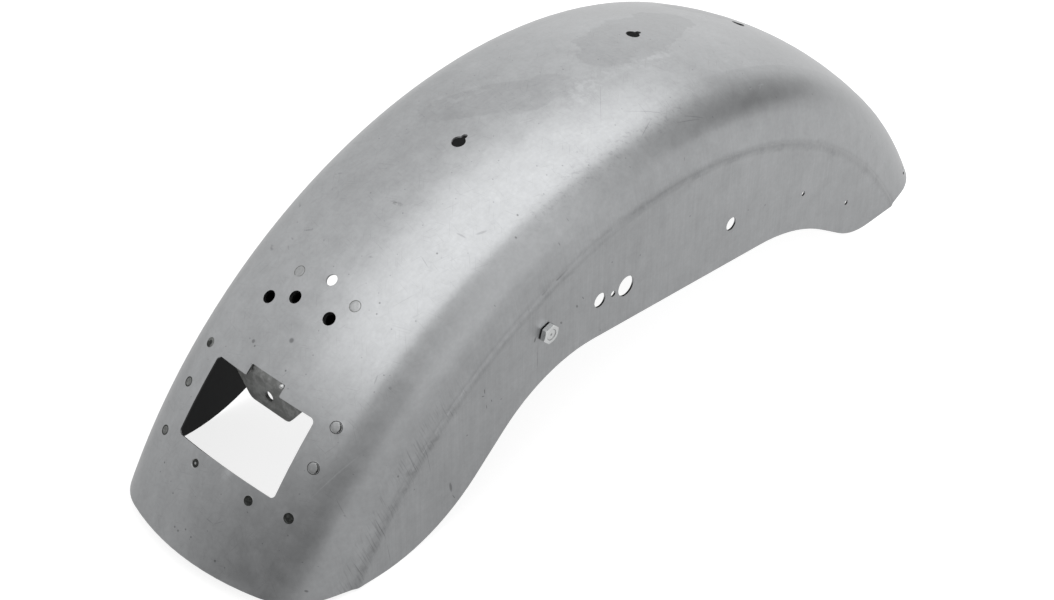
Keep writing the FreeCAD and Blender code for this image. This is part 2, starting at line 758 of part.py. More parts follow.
def make_tab(body, bend_centre):
    """Make the upright tab below the bend, with its rounded foot and its hole."""
    outline = sketch_on(body, "tab_outline", "YZ_Plane")
    outline.setExpression("AttachmentOffset.Base.z", f"{bend_centre.x} - sizes.tab_bend_radius")
    half, foot, corner = SIZES["bracket_half_width"], SIZES["tab_foot_half_width"], SIZES["tab_corner"]
    taper = SIZES["tab_foot_drop"] - SIZES["tab_shoulder_drop"]
    lean = math.degrees(math.atan2(half - foot, taper))
    upper_cut = corner * math.tan(math.radians(lean / 2))
    lower_cut = corner * math.tan(math.radians((90 - lean) / 2))
    side = [
        ("run", SIZES["tab_shoulder_drop"] - upper_cut),
        ("turn", "sizes.tab_corner", lean),
        ("run", math.hypot(half - foot, taper) - upper_cut - lower_cut),
        ("turn", "sizes.tab_corner", 90 - lean),
    ]
    moves = side + [("run", 2 * (foot - lower_cut))] + side[::-1]
    edge = draw_path(outline, Vector(-half, bend_centre.z, 0), -90, moves)
    join(outline, edge[-1], 2, edge[0], 1)
    draw_circles(outline, [("0", f"{bend_centre.z} - sizes.tab_hole_drop")], "sizes.tab_hole_bore")
    pad(body, "tab", outline, "sizes.bracket_thickness")


def cut_bracket(body):
    """Cut the slot round the wire hole, the lamp's screw holes and room for the outer nut."""
    slot = crown_sketch(body, "slot_outline", "sizes.lamp_angle")
    radius = SIZES["bracket_slot"] / 2
    reach = SIZES["bracket_half_width"]
    start = Vector(reach, radius, 0)
    straight = reach - (SIZES["wire_hole_forward"] - SIZES["bracket_slot_margin"]) - radius
    moves = [("run", straight), ("turn", "sizes.bracket_slot / 2", 180), ("run", straight)]
    edge = draw_path(slot, start, 180, moves)
    join(slot, edge[-1], 2, edge[0], 1)
    cut_outwards(body, "slot", slot)
    holes = crown_sketch(body, "screw_holes", "sizes.lamp_angle")
    draw_circles(holes, lamp_hole_places(), "sizes.lamp_hole_bore")
    room = "sizes.lamp_nut_diameter + 2 * sizes.lamp_nut_clearance"
    draw_circles(holes, [("sizes.outer_hole_forward", "sizes.outer_hole_side")], room)
    cut_outwards(body, "screw_piercing", holes)


def make_tack_weld():
    """Make the bead that sits in the notch's right-hand corner and on the bracket's bend."""
    reach = SIZES["tack_radius"] + SIZES["tack_clearance"]
    forward = SIZES["opening_length"] / 2 + SIZES["notch_depth"] - reach
    side = reach - SIZES["notch_width"] / 2
    behind_bend = SIZES["tab_bend_margin"] + reach
    above_bend = math.sqrt((SIZES["tab_bend_radius"] + reach) ** 2 - behind_bend ** 2)
    depth = SIZES["sheet_thickness"] + SIZES["tab_bend_radius"] - above_bend
    bead = doc.addObject("Part::Sphere", "tack_weld")
    bead.Label = "tack_weld"
    bead.setExpression("Radius", "sizes.tack_radius")
    place, _ = crown_spot(SIZES["opening_angle"], forward, side, depth)
    bead.Placement = Placement(place, Rotation())
    return bead


def make_lamp_nut(name, forward, side, depth):
    """Make a closed weld nut that touches the sheet with its rim."""
    body = doc.addObject("PartDesign::Body", name)
    body.Label = name
    section = sketch_on(body, "section", "XZ_Plane")
    rim, bore = "sizes.lamp_nut_diameter / 2", "sizes.lamp_nut_bore / 2"
    foot, chamfer = "-sizes.lamp_nut_height", "sizes.lamp_nut_chamfer"
    floor = f"{foot} + sizes.lamp_nut_floor"
    corners = [
        (bore, "0"), (rim, "0"), (rim, f"{foot} + {chamfer}"), (f"{rim} - {chamfer}", foot),
        ("0", foot), ("0", floor), (bore, floor),
    ]
    draw_outline(section, corners)
    spin(body, "Revolution", "turned", section)
    radius = SIZES["crown_side_radius"] - depth
    rise = radius - math.sqrt(radius ** 2 - (SIZES["lamp_nut_diameter"] / 2) ** 2)
    place, outwards = crown_spot(SIZES["lamp_angle"], forward, side, depth + rise)
    body.Placement = Placement(place, Rotation(Vector(0, 0, 1), outwards))
    return body


def side_frame(side, reach, outwards):
    """Return the placement of a fastener on a skirt, its z pointing out of or into the fender."""
    place = Vector(SIZES["bolt_x"] - box_middle(), side * reach, SIZES["bolt_height"])
    return Placement(place, Rotation(Vector(1, 0, 0), -90 * side * outwards))


def crown_hexagon(body, low, high, both):
    """Turn off the corners of a hexagon at its upper end, or at both ends."""
    section = sketch_on(body, "corner_section", "XZ_Plane")
    flat, far = "(sizes.across_flats / 2 - sizes.hex_corner_inset)", "sizes.across_flats"
    fall = f"({far} - {flat}) * tan(sizes.hex_corner_angle * 1 deg)"
    draw_outline(section, [(flat, high), (far, high), (far, f"{high} - {fall}")])
    if both:
        draw_outline(section, [(flat, low), (far, f"{low} + {fall}"), (far, low)])
    spin(body, "Groove", "turned_corners", section)


def make_bolt(name, side):
    """Make a hexagon bolt with its head outside the skirt."""
    body = doc.addObject("PartDesign::Body", name)
    body.Label = name
    shank, tip, point = "sizes.bolt_shank / 2", "-sizes.bolt_length", "sizes.bolt_point"
    washer, rise = "sizes.across_flats / 2 - sizes.washer_face_inset", "sizes.washer_face_height"
    section = sketch_on(body, "section", "XZ_Plane")
    corners = [
        ("0", tip), (f"{shank} - {point}", tip), (shank, f"{tip} + {point}"), (shank, "0"),
        (washer, "0"), (washer, rise), ("0", rise),
    ]
    draw_outline(section, corners)
    spin(body, "Revolution", "shank", section)
    outline = sketch_on(body, "hexagon", "XY_Plane")
    outline.setExpression("AttachmentOffset.Base.z", rise)
    draw_hexagon(outline, "sizes.across_flats")
    pad(body, "head", outline, f"sizes.head_height - {rise}")
    crown_hexagon(body, rise, "sizes.head_height", both=False)
    dimple = sketch_on(body, "dimple_section", "XZ_Plane")
    top, low = "sizes.head_height", "sizes.head_height - sizes.head_dimple_depth"
    draw_outline(dimple, [("0", top), ("0", low), ("sizes.head_dimple / 2", top)])
    spin(body, "Groove", "dimple", dimple)
    body.Placement = side_frame(side, SIZES["half_width"], 1)
    return body


def make_nut(name, side):
    """Make the bolt's nut, flat against the inside of the skirt."""
    body = doc.addObject("PartDesign::Body", name)
    body.Label = name
    outline = sketch_on(body, "hexagon", "XY_Plane")
    draw_hexagon(outline, "sizes.across_flats")
    pad(body, "blank", outline, "sizes.nut_height")
    crown_hexagon(body, "0", "sizes.nut_height", both=True)
    section = sketch_on(body, "bore_section", "XZ_Plane")
    bore, lead = "(sizes.bolt_shank + sizes.thread_clearance) / 2", "sizes.nut_lead_in"
    corners = [
        ("0", "0"), (f"{bore} + {lead}", "0"), (bore, lead), (bore, f"sizes.nut_height - {lead}"),
        (f"{bore} + {lead}", "sizes.nut_height"), ("0", "sizes.nut_height"),
    ]
    draw_outline(section, corners)
    spin(body, "Groove", "bore", section)
    body.Placement = side_frame(side, SIZES["half_width"] - SIZES["sheet_thickness"], -1)
    return body


def make_parts():
    """Make every sub-part."""
    under_plate = SIZES["sheet_thickness"] + SIZES["bracket_thickness"]
    forward, side = SIZES["lamp_hole_forward"], SIZES["lamp_hole_side"]
    outer_forward, outer_side = SIZES["outer_hole_forward"], SIZES["outer_hole_side"]
    return [
        make_skin(),
        make_bracket(),
        make_doubler(),
        make_doubler_plugs(),
        make_bracket_plugs(),
        make_tack_weld(),
        make_lamp_nut("lamp_nut_left", forward, side, under_plate),
        make_lamp_nut("lamp_nut_right", forward, -side, under_plate),
        make_lamp_nut("lamp_nut_outer", outer_forward, outer_side, SIZES["sheet_thickness"]),
        make_bolt("side_bolt_right", -1),
        make_bolt("side_bolt_left", 1),
        make_nut("side_nut_right", -1),
        make_nut("side_nut_left", 1),
    ]


def check(parts):
    """Stop before anything is written if a feature or a sub-part is not sound."""
    faults = []
    for item in doc.Objects:
        if "Invalid" in item.State or "Error" in item.State:
            faults.append(item.Name)
    for part in parts:
        if part.Shape.isNull() or not part.Shape.isValid():
            faults.append(part.Label)
    if faults:
        raise RuntimeError("not sound: " + ", ".join(faults))


parts = make_parts()
doc.recompute()
check(parts)
for part in parts:
    part.Shape.exportStep(f"parts/{part.Label}.step")
    box = part.Shape.BoundBox
    print(part.Label, len(part.Shape.Solids), "solids", round(part.Shape.Volume, 1), "mm3",
          [round(edge, 2) for edge in (box.XMin, box.XMax, box.YMin, box.YMax, box.ZMin, box.ZMax)])
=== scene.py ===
import math
from functools import reduce

import bpy
from mathutils import Euler, Matrix, Vector


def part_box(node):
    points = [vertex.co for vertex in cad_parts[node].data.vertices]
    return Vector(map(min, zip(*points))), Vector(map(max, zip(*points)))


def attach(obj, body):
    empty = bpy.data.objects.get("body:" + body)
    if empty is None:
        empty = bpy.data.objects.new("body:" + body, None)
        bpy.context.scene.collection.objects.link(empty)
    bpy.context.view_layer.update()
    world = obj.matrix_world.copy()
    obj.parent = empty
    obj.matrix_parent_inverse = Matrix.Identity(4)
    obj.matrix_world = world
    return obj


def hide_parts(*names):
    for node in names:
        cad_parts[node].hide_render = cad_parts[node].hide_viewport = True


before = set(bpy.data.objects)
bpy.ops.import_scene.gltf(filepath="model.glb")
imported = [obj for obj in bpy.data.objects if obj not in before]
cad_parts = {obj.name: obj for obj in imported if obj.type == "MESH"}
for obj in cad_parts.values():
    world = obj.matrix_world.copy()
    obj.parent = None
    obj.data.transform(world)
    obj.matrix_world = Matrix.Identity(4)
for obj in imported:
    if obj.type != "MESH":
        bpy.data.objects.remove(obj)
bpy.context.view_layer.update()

# %% [markdown]
# # A bare steel motorcycle rear fender
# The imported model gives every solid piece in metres, with +X to the front of the motorcycle,
# +Y to its left and +Z up. The fender stands on its front edge and its two rear skirt corners.
# The pressed sheet, the lamp bracket and the doubler keep the shapes that the model gives them,
# so they only need their finishes. The small pieces, which are the bolts, their nuts and the
# welds, are modelled again here, because they have threads, ripples and craters.

# %% Sizes of the pressed sheet
MM = 0.001
wheel_axis = Vector((-1.974, 0, -155)) * MM
crown_radius = 345 * MM
crown_side_radius = 182 * MM
shoulder_radius = 38.7 * MM
shoulder_start = 53.2 * MM
crease_reach = 296.5 * MM
sheet_low, sheet_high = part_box("fender_skin")
half_width = sheet_high.y
print("fender box in mm", [round(v / MM, 1) for v in (*sheet_low, *sheet_high)])

# %% [markdown]
# ## The camera
# The photograph was taken from behind, to the right and above, with a long lens. The place
# and the turn come from matching the outline, the lower edge and the holes to it.

# %% The camera
photo_width, focal_length = 1054, 2298.5  # both in pixels of the photograph
camera_data = bpy.data.cameras.new("camera")
camera_data.sensor_width = 36
camera_data.lens = camera_data.sensor_width * focal_length / photo_width
camera_data.clip_start = 0.05
camera = bpy.data.objects.new("camera", camera_data)
camera.location = Vector((-849.47, -751.95, 927.54)) * MM
camera.rotation_euler = Euler([math.radians(turn) for turn in (51.167, -0.835, -46.953)])
bpy.context.scene.collection.objects.link(camera)
bpy.context.scene.camera = camera
print("lens", round(camera_data.lens, 2), "mm")

# %% [markdown]
# ## Words for building finishes
# Every finish is a tree of shader nodes, and so is the room's light. A short word for each
# kind of node keeps a recipe readable: a noise of a certain size in metres, a soft step
# between two values, a sum or a product. A spot is an ellipse with soft edges, and a long
# thin one is a scratch.

# %% A recipe of nodes


class Recipe:
    """A tree of shader nodes, and short words that add nodes to it."""

    def __init__(self, tree):
        self.tree = tree

    def feed(self, socket, given):
        """Link a socket to an output, or set its number."""
        if isinstance(given, bpy.types.NodeSocket):
            self.tree.links.new(given, socket)
        else:
            socket.default_value = given

    def node(self, kind, inputs, output=0, **options):
        """Add a node, set its options, feed its named inputs and return one output."""
        made = self.tree.nodes.new("ShaderNode" + kind)
        for option, choice in options.items():
            setattr(made, option, choice)
        for name, given in inputs.items():
            self.feed(made.inputs[name], given)
        return made.outputs[output]

    def maths(self, operation, *numbers):
        """One sum on numbers or outputs."""
        made = self.tree.nodes.new("ShaderNodeMath")
        made.operation = operation
        for socket, given in zip(made.inputs, numbers):
            self.feed(socket, given)
        return made.outputs[0]

    def axes(self, vector):
        """The x, y and z of a vector."""
        made = self.tree.nodes.new("ShaderNodeSeparateXYZ")
        self.feed(made.inputs[0], vector)
        return made.outputs


# %% A finish and its words


class Finish(Recipe):
    """A finish of a surface: its material, and the words for its patterns."""

    def __init__(self, name, metallic=1.0):
        self.material = bpy.data.materials.new(name)
        self.material.use_nodes = True
        super().__init__(self.material.node_tree)
        self.shader = self.tree.nodes["Principled BSDF"]
        self.shader.inputs["Metallic"].default_value = metallic
        self.place = self.node("TexCoord", {}, output="Object")
        self.tone = None

    def product(self, factors):
        return reduce(lambda left, right: self.maths("MULTIPLY", left, right), factors)

    def shade(self, factor):
        """Multiply the tone by one more factor."""
        self.tone = factor if self.tone is None else self.maths("MULTIPLY", self.tone, factor)

    def strongest(self, masks):
        return reduce(lambda left, right: self.maths("MAXIMUM", left, right), masks)

    def fade(self, number, start, end):
        """A soft step: 0 at start, 1 at end."""
        steps = {"Value": number, "From Min": start, "From Max": end}
        return self.node("MapRange", steps, interpolation_type="SMOOTHSTEP", clamp=False)

    def laid(self, place, size, turn, at):
        """Lay coordinates out so that a pattern has its size in metres, its turn and its place."""
        layout = {"Vector": place, "Location": at, "Rotation": (0, 0, math.radians(turn)), "Scale": size}
        return self.node("Mapping", layout, vector_type="TEXTURE")

    def noise(self, place, size, detail=2.0, rough=0.5, turn=0.0, at=(0, 0, 0)):
        """Cloudy noise whose patches have a size along each axis."""
        layout = self.laid(place, size, turn, at)
        return self.node("TexNoise", {"Vector": layout, "Scale": 1.0, "Detail": detail, "Roughness": rough})

    def swing(self, pattern, amount):
        """A factor that goes an amount below and above 1 as a pattern goes from 0 to 1."""
        return self.maths("MULTIPLY_ADD", pattern, 2 * amount, 1 - amount)

    def darker(self, mask, amount):
        """A factor that falls an amount below 1 where the mask is 1."""
        return self.maths("MULTIPLY_ADD", mask, -amount, 1.0)

    def spot(self, place, at, size, turn=0.0, soft=0.4):
        """A mask that is 1 inside an ellipse, with soft edges."""
        layout = self.laid(place, (size[0] * MM, size[1] * MM, 1), turn, (at[0] * MM, at[1] * MM, 0))
        reach = self.node("VectorMath", {0: layout}, output="Value", operation="LENGTH")
        return self.fade(reach, 1.0, 1.0 - soft)

    def dot(self, place, at, radius):
        """A mask that is 1 in the middle of a small round dot."""
        centre = (at[0] * MM, at[1] * MM, 0)
        gap = self.node("VectorMath", {0: place, 1: centre}, output="Value", operation="DISTANCE")
        return self.fade(gap, radius * MM, 0.4 * radius * MM)

    def stroke(self, place, start, end, width, soft=0.6):
        """A mask along a line from start to end, thin at its ends."""
        run = Vector(end) - Vector(start)
        middle = (Vector(start) + Vector(end)) / 2
        turn = math.degrees(math.atan2(run.y, run.x))
        return self.spot(place, middle, (run.length / 2, width / 2), turn, soft)

    def tint(self, colour):
        """Feed the base colour: one colour, made lighter and darker by the tone."""
        shade = self.node("VectorMath", {0: colour, "Scale": self.tone}, operation="SCALE")
        self.feed(self.shader.inputs["Base Color"], shade)

    def relief(self, height, distance, strength=1.0):
        """Feed the bump: a height from 0 to 1 that stands so far up."""
        bump = self.node("Bump", {"Height": height, "Distance": distance, "Strength": strength}, output="Normal")
        self.feed(self.shader.inputs["Normal"], bump)


# %% [markdown]
# ## Places on the sheet
# Marks on the crown are easiest to place on the sheet rolled out flat: so far along the
# wheel's circle and so far to the side. Marks on a skirt are placed by their x and height.
# The inside of the sheet is told from the outside by which way its faces point.

# %% The bare sheet and its places
sheet_steel = Finish("bare_sheet_steel")
place = sheet_steel.place
from_axis = sheet_steel.node("VectorMath", {0: place, 1: tuple(wheel_axis)}, operation="SUBTRACT")
forwards, sideways, upwards = sheet_steel.axes(from_axis)
angle = sheet_steel.maths("ARCTAN2", upwards, forwards)
along = sheet_steel.maths("MULTIPLY", angle, crown_radius)
side_out = sheet_steel.maths("ABSOLUTE", sideways)
wheel_plane = sheet_steel.node("CombineXYZ", {"X": forwards, "Y": upwards})
reach = sheet_steel.node("VectorMath", {0: wheel_plane}, output="Value", operation="LENGTH")
rolled_out = sheet_steel.node("CombineXYZ", {"X": along, "Y": sideways})
height = sheet_steel.maths("ADD", upwards, wheel_axis.z)
world_x = sheet_steel.maths("ADD", forwards, wheel_axis.x)
skirt_face = sheet_steel.node("CombineXYZ", {"X": world_x, "Y": height})
right_side = sheet_steel.fade(sideways, -0.001, -0.003)
skirt = sheet_steel.fade(side_out, 74 * MM, 83 * MM)
crown = sheet_steel.fade(side_out, 74 * MM, 60 * MM)
outer_way = sheet_steel.node("CombineXYZ", {"X": forwards, "Y": sheet_steel.maths("MULTIPLY", sideways, 6.0),
                                            "Z": upwards})
outer_way = sheet_steel.node("VectorMath", {0: outer_way}, operation="NORMALIZE")
facing = sheet_steel.node("NewGeometry", {}, output="True Normal")
outward = sheet_steel.node("VectorMath", {0: outer_way, 1: facing}, output="Value", operation="DOT_PRODUCT")
inside = sheet_steel.fade(outward, -0.45, -0.6)
print("places take", len(sheet_steel.tree.nodes), "nodes")

# %% [markdown]
# ## The grain of the sheet
# Bare steel from the press is never one grey. The crown is satin, with faint clouds where oil
# has dried, mottled patches and fine scratches in all directions. The skirts and the band
# under the shoulder are brushed, with fine upright lines. Small specks lie on the crown and
# stop short of the skirts, where the rolled-out places would draw them out into long lines.
# Each is a noise of its own size, and together they are multiplied into one tone.

# %% Clouds, mottle and pits
clouds = sheet_steel.noise(place, (0.055, 0.04, 0.055), 4.0, 0.55)
sheet_steel.shade(sheet_steel.swing(clouds, 0.12))
gloss = sheet_steel.maths("MULTIPLY_ADD", clouds, 0.1, 0.21)
mottle = sheet_steel.noise(place, (0.011, 0.011, 0.011), 5.0, 0.6)
sheet_steel.shade(sheet_steel.swing(mottle, 0.15))
gloss = sheet_steel.maths("MULTIPLY_ADD", mottle, 0.12, gloss)
pitting = sheet_steel.noise(place, (0.0024, 0.0024, 0.0024), 3.0, 0.6)
sheet_steel.shade(sheet_steel.swing(pitting, 0.1))


# %% Brushed lines on the skirts, drawn lines and scratches on the crown
def swing_where(pattern, where, amount):
    """A factor that follows a pattern, but only where a mask is 1."""
    off_middle = sheet_steel.maths("SUBTRACT", pattern, 0.5)
    return sheet_steel.maths("MULTIPLY_ADD", off_middle, sheet_steel.maths("MULTIPLY", where, 2 * amount), 1.0)


brushed = sheet_steel.noise(place, (0.0011, 0.02, 0.045), 2.0, 0.6)
sheet_steel.shade(swing_where(brushed, skirt, 0.1))
sheet_steel.shade(swing_where(sheet_steel.noise(place, (0.009, 0.02, 0.12)), skirt, 0.04))
sheet_steel.shade(swing_where(sheet_steel.noise(rolled_out, (0.05, 0.0016, 1)), crown, 0.03))


def scratch_lines(turn):
    """A mask of fine scratches that all lie at one turn."""
    lines = sheet_steel.noise(rolled_out, (0.016, 0.00042, 1), 1.0, 0.4, turn, (0.01 * turn, 0, 0))
    return sheet_steel.fade(lines, 0.67, 0.78)


scratches = sheet_steel.strongest(scratch_lines(turn) for turn in (24, 71, -38, -77))
sheet_steel.shade(sheet_steel.darker(sheet_steel.maths("MULTIPLY", scratches, crown), 0.16))

# %% Specks
speck_cells = sheet_steel.tree.nodes.new("ShaderNodeTexVoronoi")
speck_cells.voronoi_dimensions = "2D"
sheet_steel.feed(speck_cells.inputs["Vector"], rolled_out)
sheet_steel.feed(speck_cells.inputs["Scale"], 85.0)
speck_size = sheet_steel.node("SeparateColor", {0: speck_cells.outputs["Color"]})
speck_reach = sheet_steel.maths("MULTIPLY", sheet_steel.fade(speck_size, 0.45, 1.0), 0.05)
speck_edge = sheet_steel.maths("SUBTRACT", speck_cells.outputs["Distance"], speck_reach)
specks = sheet_steel.maths("MULTIPLY", sheet_steel.fade(speck_edge, 0.0, -0.02),
                           sheet_steel.fade(side_out, 82.5 * MM, 81 * MM))
sheet_steel.shade(sheet_steel.darker(specks, 0.28))
print("with its grain", len(sheet_steel.tree.nodes), "nodes")

# %% [markdown]
# ## Marks that this fender has
# Dried stains lie in three places by the keyholes. Where the bright reflected ridge ends, a
# ragged line of dark specks is painted, for mottled roughness that breaks up the reflection
# there. Short grinding strokes cross the crease towards the rear, and painted shade follows the
# crease as a line. Longer scratches, rub marks and small smudges are placed one by one,
# because they are what makes this sheet and no other.

# %% Stains on the crown


def on_crown(degrees, side):
    """A point of the crown, given by its angle about the wheel and its side in mm, on the rolled-out sheet."""
    return math.radians(degrees) * crown_radius / MM, side


ragged = sheet_steel.noise(rolled_out, (0.014, 0.012, 1), 5.0, 0.65)
ragged_offset = sheet_steel.maths("MULTIPLY_ADD", ragged, 0.024, -0.012)
ragged_way = sheet_steel.node("CombineXYZ", {"X": ragged_offset, "Y": ragged_offset})
stain_place = sheet_steel.node("VectorMath", {0: rolled_out, 1: ragged_way}, operation="ADD")
stain_spots = [((79.6, -1), (50, 24), -6, 0.1), ((72, 8), (24, 14), 20, 0.1), ((97.5, 9), (52, 15), 38, 0.14),
               ((94.5, -6), (26, 15), 10, 0.14), ((62.5, 22), (30, 12), 30, 0.14)]
stains = sheet_steel.strongest(
    sheet_steel.spot(stain_place, on_crown(*at), size, turn, soft) for at, size, turn, soft in stain_spots)
sheet_steel.shade(sheet_steel.darker(stains, 0.09))
gloss = sheet_steel.maths("MULTIPLY_ADD", stains, 0.03, gloss)
pale_spots = [((81.5, -27), (34, 10), 10), ((90, -24), (36, 13), -8), ((100, 30), (40, 10), 30),
              ((66, 6), (30, 9), 40)]
pale_zone = sheet_steel.strongest(
    sheet_steel.spot(rolled_out, on_crown(*at), size, turn, 0.8) for at, size, turn in pale_spots)
flakes = sheet_steel.fade(sheet_steel.noise(rolled_out, (0.006, 0.006, 1), 6.0, 0.7), 0.5, 0.54)
sheet_steel.shade(sheet_steel.darker(sheet_steel.maths("MULTIPLY", pale_zone, flakes), -0.1))

# %% Dark specks painted where the reflected ridge ends
reflected_ridge_end = sheet_steel.product([
    sheet_steel.fade(side_out, 55 * MM, 63 * MM), sheet_steel.fade(side_out, 74 * MM, 66 * MM),
    sheet_steel.fade(angle, math.radians(78), math.radians(86)),
    sheet_steel.fade(angle, math.radians(112), math.radians(103))])
painted_reflection_specks = sheet_steel.fade(sheet_steel.noise(rolled_out, (0.0042, 0.0026, 1), 4.0, 0.75, 30), 0.5, 0.66)
# Painted reflection detail: dark specks darken the colour where the bright reflection on the shoulder ends, standing
# for mottled roughness.
sheet_steel.shade(sheet_steel.darker(sheet_steel.maths("MULTIPLY", reflected_ridge_end, painted_reflection_specks), 0.16))

# %% The painted shade along the crease, its dirt, and the grinding strokes across it
crease_near = sheet_steel.maths("ABSOLUTE", sheet_steel.maths("SUBTRACT", reach, crease_reach))
crease_painted_shade = sheet_steel.maths("MULTIPLY", sheet_steel.fade(crease_near, 4.6 * MM, 0.6 * MM), skirt)
# Painted shade: a dark line darkens the colour along the crease.
sheet_steel.shade(sheet_steel.darker(crease_painted_shade, 0.15))
crease_dirt = sheet_steel.product([
    sheet_steel.fade(crease_near, 9 * MM, 1 * MM), skirt,
    sheet_steel.fade(sheet_steel.noise(place, (0.012, 0.01, 0.007), 4.0, 0.65), 0.5, 0.72)])
sheet_steel.shade(sheet_steel.darker(crease_dirt, 0.14))
strokes = sheet_steel.product([
    sheet_steel.fade(reach, 289 * MM, 297 * MM), sheet_steel.fade(reach, 310 * MM, 306.5 * MM), skirt,
    sheet_steel.fade(angle, math.radians(119), math.radians(128)),
    sheet_steel.fade(sheet_steel.noise(skirt_face, (0.0009, 0.013, 1), 1.0, 0.4, 15.5), 0.5, 0.74)])
sheet_steel.shade(sheet_steel.darker(strokes, 0.22))

# %% Single marks on the crown: smudges, dots, rubbed lines and pale lines
crown_smudges = [
    ((113.0, 53.0), (112.5, 47.0), 2.2), ((114.9, 45.0), (114.0, 43.0), 2.4), ((117.0, 61.0), (117.8, 55.0), 2.4),
    ((119.6, 41.0), (119.0, 33.5), 1.8), ((120.7, 45.3), (120.8, 41.5), 1.6), ((121.5, 43.0), (121.9, 39.5), 1.6),
    ((122.1, 56.4), (122.8, 50.4), 3.4), ((119.3, 23.0), (119.5, 21.0), 1.9), ((112.9, 4.5), (112.6, -6.0), 3.6),
    ((118.6, -9.6), (118.3, -12.7), 2.0), ((103.7, -15.2), (103.7, -14.0), 1.2), ((110.4, -23.6), (110.4, -22.6), 1.2),
]
crown_dots = [
    (149.9, 13.4, 0.9), (150.0, 10.1, 0.9), (149.4, 5.1, 0.8), (149.7, -0.4, 0.8), (150.3, -21.1, 1.0),
    (148.9, -72.3, 1.0), (145.5, 40.4, 0.8), (131.2, 18.9, 0.9), (147.3, 24.0, 0.7), (86.2, 62.6, 1.0),
    (108.6, -65.7, 0.8), (106.8, -58.8, 0.8), (121.6, -33.1, 0.8), (114.7, -40.9, 0.8), (122.6, -35.6, 0.7),
    (130.9, 21.6, 1.6), (128.9, -1.2, 2.0), (131.5, -8.6, 0.8),
]
crown_rubs = [
    ((111.1, -49.8), (109.9, -53.5), 2.0), ((115.7, -33.7), (116.4, -43.9), 0.7), ((112.0, -40.3), (111.8, -48.5), 1.6),
    ((128.3, -57.0), (127.1, -55.5), 1.2), ((127.7, -63.3), (127.5, -65.0), 2.2), ((88.0, -22.4), (93.8, -54.0), 0.45),
    ((90.1, -49.2), (85.0, -66.0), 0.7), ((84.6, -66.8), (80.9, -72.7), 0.7), ((85.6, -68.9), (81.6, -72.1), 0.6),
    ((90.6, -67.4), (87.7, -61.6), 0.8), ((138.9, -66.6), (140.8, -76.1), 0.5), ((147.2, -4.6), (147.3, -11.7), 0.7),
    ((147.3, -11.7), (146.3, -18.4), 0.6), ((103.1, -73.5), (103.0, -75.5), 1.0),
]
crown_pale = [
    ((141.2, -56.2), (133.8, -69.4), 0.8), ((81.7, -51.2), (80.1, -63.3), 0.6), ((79.5, -49.9), (80.2, -58.4), 0.5),
    ((72.6, -66.9), (72.0, -66.4), 1.4), ((71.0, -65.8), (69.4, -65.5), 1.2), ((70.9, -67.9), (70.2, -65.8), 1.1),
]


def crown_strokes(marks, soft=0.6):
    """One mask for a list of marks on the crown, each with its two ends and its width."""
    return sheet_steel.strongest(
        sheet_steel.stroke(rolled_out, on_crown(*start), on_crown(*end), width, soft) for start, end, width in marks)


smudge_grain = sheet_steel.fade(sheet_steel.noise(rolled_out, (0.0016, 0.0016, 1), 3.0, 0.6), 0.36, 0.6)
smudges = sheet_steel.maths("MULTIPLY", crown_strokes(crown_smudges, 0.7), smudge_grain)
sheet_steel.shade(sheet_steel.darker(smudges, 0.3))
dots = sheet_steel.strongest(
    sheet_steel.dot(rolled_out, on_crown(degrees, side), radius) for degrees, side, radius in crown_dots)
sheet_steel.shade(sheet_steel.darker(dots, 0.45))
sheet_steel.shade(sheet_steel.darker(crown_strokes(crown_rubs), 0.2))
sheet_steel.shade(sheet_steel.darker(crown_strokes(crown_pale), -0.16))

# %% Single marks on the right skirt: scratches, nicks and dots
skirt_scratches = [
    ((-235.1, 44.4), (-229.2, 23.3), 0.8), ((-229.2, 23.3), (-226.2, 2.0), 0.5), ((-208.2, 74.3), (-203.6, 54.6), 0.7),
    ((-199.0, 81.3), (-193.2, 46.2), 0.5), ((-252.5, 22.7), (-246.5, 5.5), 0.8), ((-108.2, 93.0), (-107.2, 71.2), 0.7),
]
skirt_nicks = [
    ((-110.8, 94.6), (-109.2, 98.9), 2.3), ((-151.2, 86.3), (-150.8, 81.5), 1.1), ((-153.8, 81.6), (-150.6, 80.3), 0.9),
    ((-145.6, 74.7), (-144.9, 72.1), 0.9), ((-138.2, 69.4), (-136.6, 69.9), 1.0), ((-149.6, 73.6), (-149.2, 69.5), 0.8),
    ((-179.2, 34.5), (-177.6, 24.3), 2.6), ((-177.4, 23.0), (-174.6, 17.5), 0.8), ((-89.0, 97.5), (-87.0, 95.0), 1.8),
    ((-75.6, 102.1), (-73.9, 99.2), 1.8), ((-70.7, 105.6), (-68.9, 102.4), 1.0),
]
skirt_dots = [(25.0, 111.6, 0.8), (100.6, 79.7, 0.8), (83.3, 85.0, 0.7), (-19.9, 107.2, 0.7), (-45.2, 116.1, 0.8),
              (-53.2, 70.1, 0.7), (-128.0, 36.0, 0.9), (-165.0, 60.0, 0.8), (-216.0, 61.0, 0.9), (-207.0, 47.0, 0.7)]
near_skirt = sheet_steel.maths("MULTIPLY", skirt, right_side)


def skirt_strokes(marks):
    """One mask for a list of marks on the right skirt, each with its two ends and its width."""
    masks = (sheet_steel.stroke(skirt_face, start, end, width) for start, end, width in marks)
    return sheet_steel.maths("MULTIPLY", sheet_steel.strongest(masks), near_skirt)


sheet_steel.shade(sheet_steel.darker(skirt_strokes(skirt_scratches), 0.3))
sheet_steel.shade(sheet_steel.darker(skirt_strokes(skirt_nicks), 0.45))
dots = sheet_steel.strongest(sheet_steel.dot(skirt_face, (x, z), radius) for x, z, radius in skirt_dots)
sheet_steel.shade(sheet_steel.darker(sheet_steel.maths("MULTIPLY", dots, near_skirt), 0.4))
